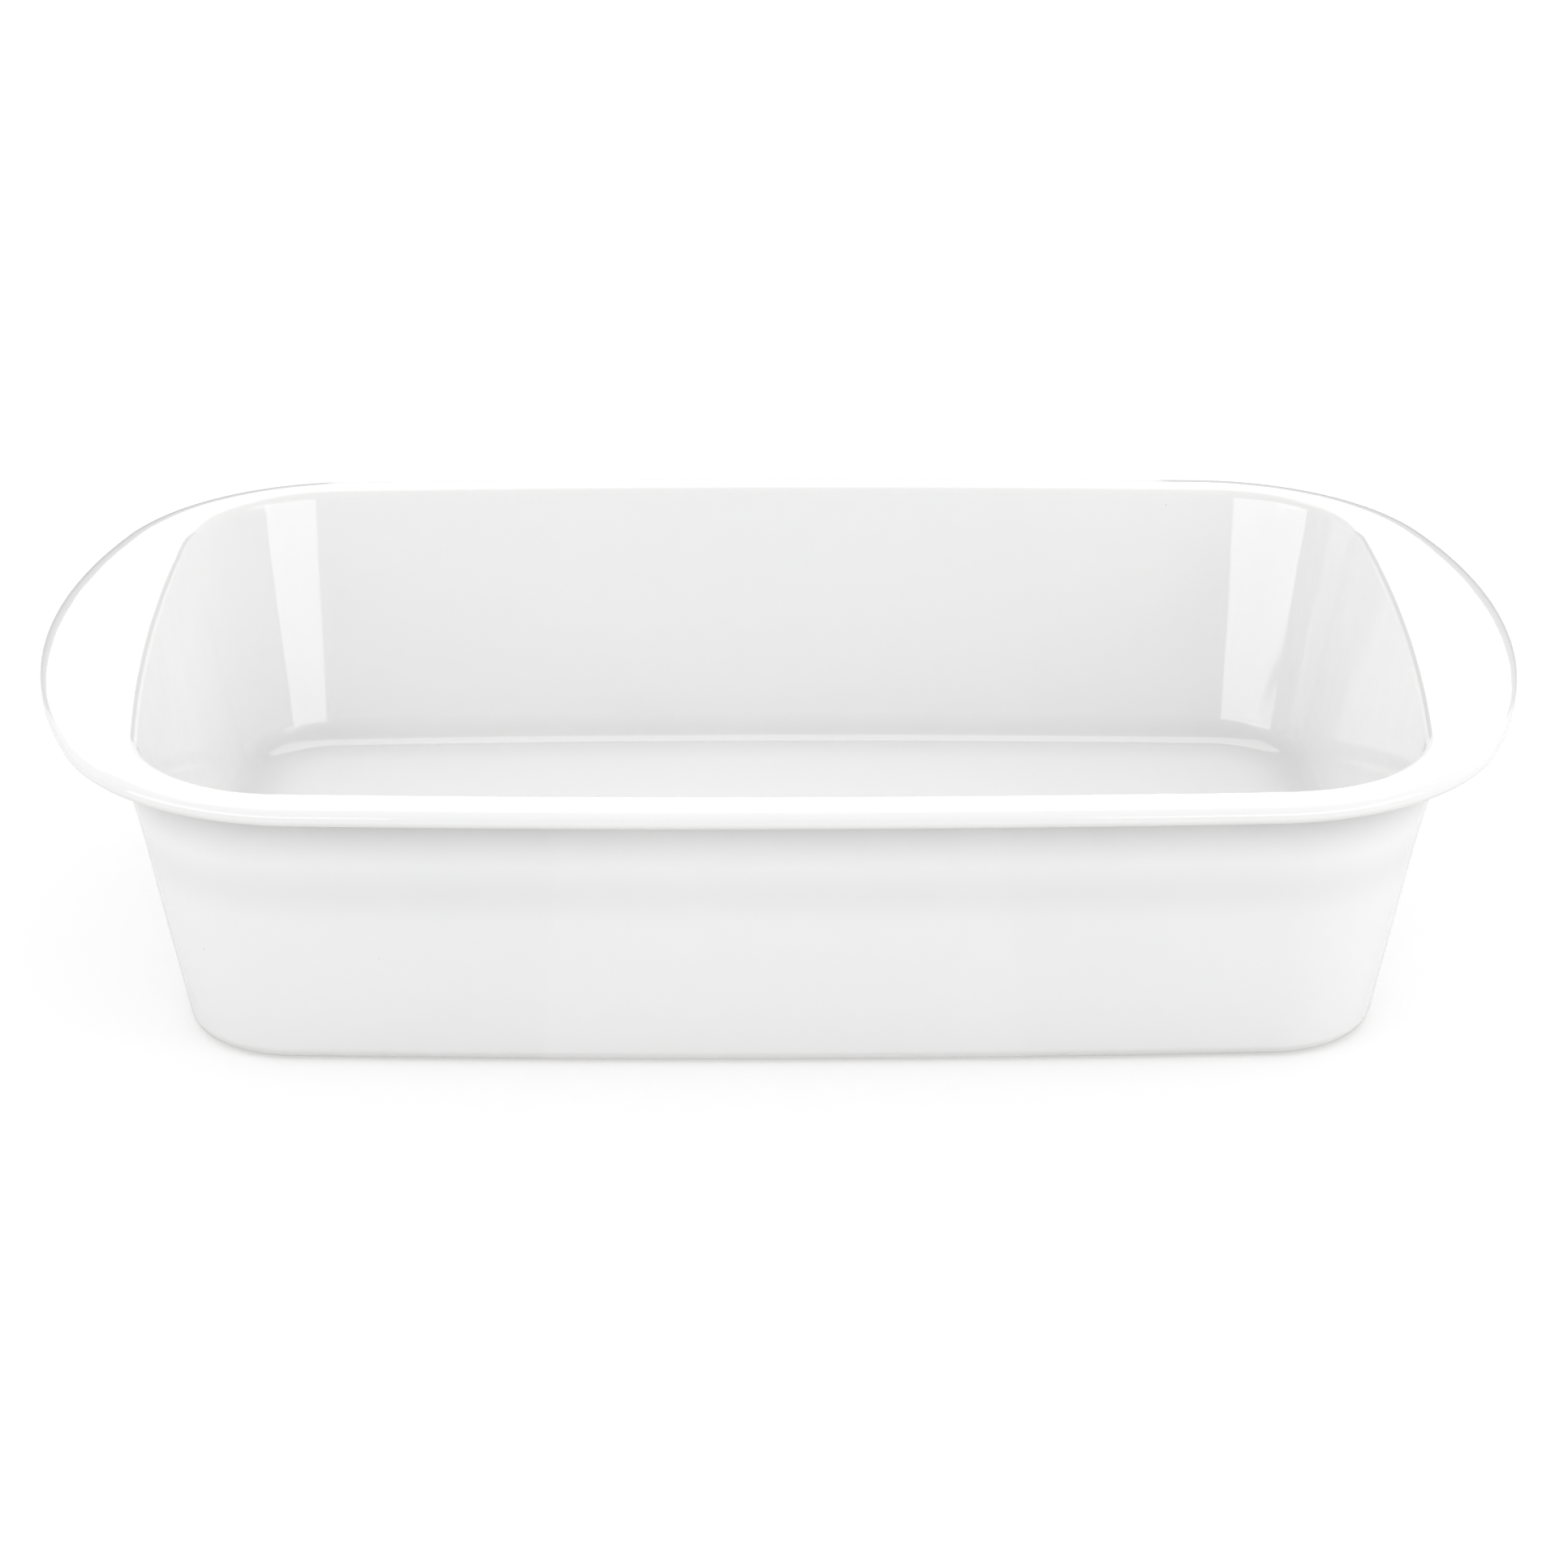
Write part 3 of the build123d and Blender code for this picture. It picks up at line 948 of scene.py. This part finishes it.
# %% [markdown]
# ## Light
#
# A white dish on white is drawn by its light alone. The world is a white tent, brighter overhead and at the
# two sides than in front. A wide soft box behind the dish lifts the rim and the floor of the basin, and two
# small ones low at the sides round off the corners. A lamp's `glow` is its brightness beside white paper, so
# a glow of 2 is mirrored twice as bright as paper. Its power follows from the glow and from the size of the
# box.

# %% Soft boxes
def soft_box(name, spot, aim, width, height, glow):
    """A rectangular lamp at a spot, turned towards what it lights."""
    lamp = bpy.data.lights.new(name, "AREA")
    lamp.shape = "RECTANGLE"
    lamp.size = width
    lamp.size_y = height
    lamp.energy = glow * math.pi * width * height
    holder = bpy.data.objects.new(name, lamp)
    holder.location = spot
    holder.rotation_euler = (Vector(aim) - Vector(spot)).to_track_quat("-Z", "Y").to_euler()
    holder.visible_camera = False
    bpy.context.scene.collection.objects.link(holder)
    return holder


MIDDLE = (0.0, 0.0, HEIGHT / 2)
soft_box("back_box", spot=(0.0, 1.50, 1.00), aim=MIDDLE, width=2.6, height=0.92, glow=0.6)
soft_box("left_box", spot=(-1.22, -0.66, 0.42), aim=MIDDLE, width=0.6, height=0.7, glow=0.9)
soft_box("right_box", spot=(1.03, -0.52, 0.42), aim=MIDDLE, width=0.5, height=0.6, glow=1.35)

# %% [markdown]
# ## What the glaze mirrors
#
# Glaze is seen by what it mirrors. Two low windows at the front stand as tall bright streaks in the two
# back corners of the basin, a strip overhead draws the bright line where the floor turns up into the wall,
# and a panel behind the dish whitens the flat of the rim. These four lamps only make highlights: diffuse
# rays don't see them. The dish doesn't block the first three either, so a streak reaches as far down as the
# glaze that mirrors it.
#
# Cards do the opposite, as in any studio. Only mirrored rays see them. Black ones far behind the dish draw
# a thin grey line along the far edge of each ear, which keeps a white ear apart from white paper. Pale grey
# ones on the floor beside the dish do the same, more softly, for the two ends of its wall.

# %% Lamps and cards for the gloss alone
def highlight_only(lamp, unblocked):
    """Makes a lamp show in gloss alone, with some objects letting it through."""
    lamp.visible_diffuse = False
    passed = bpy.data.collections.new(lamp.name + "_passes")
    for thing in unblocked:
        passed.objects.link(thing)
    for entry in passed.collection_objects:
        entry.light_linking.link_state = "EXCLUDE"
    lamp.light_linking.blocker_collection = passed


def card(name, centre, across, up, shade):
    """A dull sheet that only mirrored rays see."""
    paint = bpy.data.materials.new(name)
    paint.use_nodes = True
    feed(paint.node_tree.nodes["Principled BSDF"].inputs["Base Color"], (shade, shade, shade, 1.0))
    sheet = flat_sheet(name, Vector(centre), Vector(across), Vector(up), paint)
    sheet.visible_camera = False
    sheet.visible_diffuse = False
    sheet.visible_shadow = False


# %% Windows, strip, panel and cards
LEFT_BACK_CORNER = (-0.130, 0.095, 0.10)
RIGHT_BACK_CORNER = (0.135, 0.093, 0.10)
BACK_FILLET = (0.0, 0.09, 0.0)
BLACK, PALE_GREY = 0.02, 0.76

mirrored_lamps = (
    soft_box(
        "right_window", spot=(0.570, -0.880, 0.175), aim=LEFT_BACK_CORNER, width=0.90, height=0.55, glow=2.35
    ),
    soft_box(
        "left_window", spot=(-0.740, -0.730, 0.175), aim=RIGHT_BACK_CORNER, width=1.45, height=0.55, glow=2.6
    ),
    soft_box("overhead_strip", spot=(0.0, 0.62, 1.20), aim=BACK_FILLET, width=1.5, height=0.80, glow=1.8),
)
for lamp in mirrored_lamps:
    highlight_only(lamp, (bare_body, glaze_skin, foot_glaze, floor))
rim_panel = soft_box("rim_panel", spot=(0.0, 1.46, 0.97), aim=MIDDLE, width=2.5, height=0.88, glow=1.2)
rim_panel.visible_diffuse = False
for side, way in (("left", -1.0), ("right", 1.0)):
    card(side + "_upright_flag", (way * 0.99, 2.0, 0.343), across=(0.71, 0, 0), up=(0, 0, 0.343), shade=BLACK)
    card(side + "_lying_flag", (way * 0.95, 1.225, 0.001), across=(0.75, 0, 0), up=(0, 0.775, 0), shade=BLACK)
    card(side + "_card", (way * 0.36, 0.15, 0.0003), across=(0.30, 0, 0), up=(0, 0.35, 0), shade=PALE_GREY)
print("lamps:", len(bpy.data.lights))

# %% World
FILL_AT_HORIZON = 0.70
FILL_OVERHEAD = 1.11
FILL_TO_THE_RIGHT = 0.06
FILL_AT_THE_SIDES = 0.34
world = bpy.data.worlds.new("white studio")
world.use_nodes = True
bpy.context.scene.world = world
world_tree = world.node_tree
backdrop = world_tree.nodes["Background"]
feed(backdrop.inputs["Color"], WHITE)
towards = out(place(world_tree, "ShaderNodeTexCoord"), "Generated")
sky = place(world_tree, "ShaderNodeSeparateXYZ", {0: towards})
fill = out(sky, "Z").clamped() * (FILL_OVERHEAD - FILL_AT_HORIZON) + FILL_AT_HORIZON
fill = fill + out(sky, "X") * FILL_TO_THE_RIGHT + out(sky, "X") * out(sky, "X") * FILL_AT_THE_SIDES
# A ray that carries light around meets the fill, and one that is seen meets plain white.
seen = seen_directly(world_tree)
feed(backdrop.inputs["Strength"], fill.towards(seen, seen))
bpy.context.scene.view_settings.view_transform = "Standard"

# %% [markdown]
# ## The camera
#
# The photograph was taken with a long lens from about 1.3 metres away, looking down by about 23 degrees.
# These values come from fitting the dish's own outlines to the picture. The camera turns round a point near
# the middle of the dish, and its roll of a fifth of a degree is kept, because the rim in the photograph
# leans by it.

# %% Camera
FRAME_PIXELS = 1932
LENS_PIXELS = 6226.5
SENSOR = 36.0
CAMERA_DISTANCE = 1328.6 * MM
CAMERA_AIM = Vector((1.45 * MM, 0.0, HEIGHT - 43.85 * MM))
LOOK_DOWN, LOOK_ASIDE, ROLL_ANGLE = 0.4093, 0.0151, 0.0034

forward = Vector((
    math.sin(LOOK_ASIDE) * math.cos(LOOK_DOWN),
    math.cos(LOOK_ASIDE) * math.cos(LOOK_DOWN),
    -math.sin(LOOK_DOWN),
))
level_right = Vector((math.cos(LOOK_ASIDE), -math.sin(LOOK_ASIDE), 0.0))
level_up = level_right.cross(forward)
right = math.cos(ROLL_ANGLE) * level_right + math.sin(ROLL_ANGLE) * level_up
up = right.cross(forward)

lens = bpy.data.cameras.new("camera")
lens.sensor_width = SENSOR
lens.lens = LENS_PIXELS / FRAME_PIXELS * SENSOR
camera = bpy.data.objects.new("camera", lens)
turn = Matrix((right, up, -forward)).transposed().to_4x4()
camera.matrix_world = Matrix.Translation(CAMERA_AIM - forward * CAMERA_DISTANCE) @ turn
bpy.context.scene.collection.objects.link(camera)
bpy.context.scene.camera = camera
print("lens:", round(lens.lens, 1), "mm")

# %% [markdown]
# ## Sizes before and after
#
# The script prints how far each side of the dressed dish's box lies beyond the box of the solids. The
# dressed dish has to fill the same box as the solids.

# %% Print how far the box has grown
visual_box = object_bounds()
growth = [visual_box[end][axis] - cad_box[end][axis] for end in (0, 1) for axis in range(3)]
print("grown by, in mm:", [round(side / MM, 2) for side in growth])
